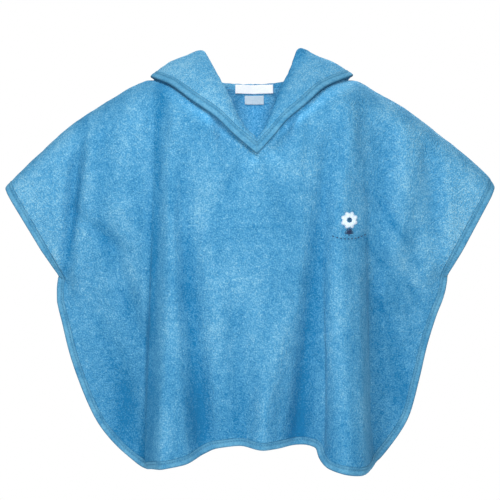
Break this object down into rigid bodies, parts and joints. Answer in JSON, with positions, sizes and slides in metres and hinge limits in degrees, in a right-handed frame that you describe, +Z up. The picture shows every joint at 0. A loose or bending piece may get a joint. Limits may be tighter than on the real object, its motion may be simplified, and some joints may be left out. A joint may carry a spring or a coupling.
{
  "type": "hooded bath poncho",
  "caption": "Hooded terry poncho for a toddler, filled out as when worn: open neck, wide sleeve openings, side slits and a turned back hood.",
  "frame": {"origin": "middle of the neck at shoulder height, where the wearer holds it", "axes": "+X towards the wearer's left, +Z up, the front faces -Y"},
  "size_m": [0.5633, 0.2364, 0.4862],
  "materials": {
    "terry": "blue looped terry",
    "binding": "plain woven tape, a shade paler than the terry",
    "white_label": "blank white woven label",
    "grey_label": "blank pale grey woven label"
  },
  "bodies": {
    "root": {"front_panel": "terry", "back_panel": "terry", "hood_left": "terry", "hood_right": "terry", "front_edge_binding": "binding", "back_edge_binding": "binding", "hood_binding_left": "binding", "hood_binding_right": "binding", "neck_label": "white_label", "size_label": "grey_label"}
  },
  "joints": []
}
